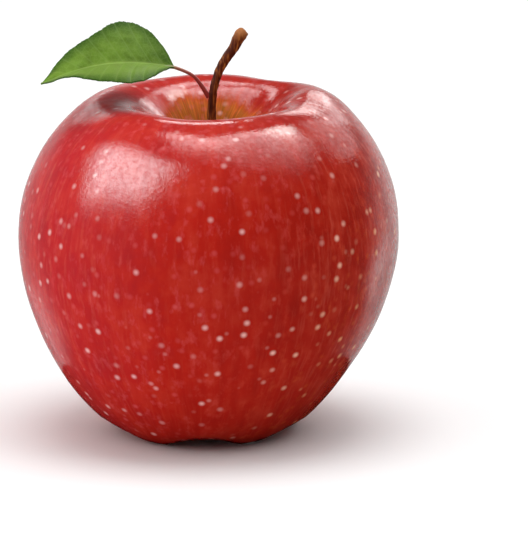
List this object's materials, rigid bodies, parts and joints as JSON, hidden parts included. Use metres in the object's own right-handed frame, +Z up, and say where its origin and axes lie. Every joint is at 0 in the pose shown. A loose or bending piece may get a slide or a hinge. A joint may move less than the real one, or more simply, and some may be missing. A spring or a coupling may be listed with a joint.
{
  "type": "apple",
  "caption": "Whole fresh red apple with five shallow lobes, deep stem cavity, woody curved stem and one folded green leaf.",
  "frame": {"origin": "on the resting plane, under the middle of the fruit", "axes": "+Z up through the stem cavity; -Y is the front, with the leaf pointing to -X"},
  "size_m": [0.08, 0.0799, 0.0868],
  "materials": {
    "apple_skin": "satin",
    "stem_bark": "matte",
    "leaf_green": "satin",
    "dried_sepal": "matte",
    "dried_stamen": "matte"
  },
  "bodies": {
    "root": {"fruit_body": "apple_skin", "stem": "stem_bark", "leaf": "leaf_green", "sepal_1": "dried_sepal", "sepal_2": "dried_sepal", "sepal_3": "dried_sepal", "sepal_4": "dried_sepal", "sepal_5": "dried_sepal", "stamen_tuft": "dried_stamen"}
  },
  "joints": []
}
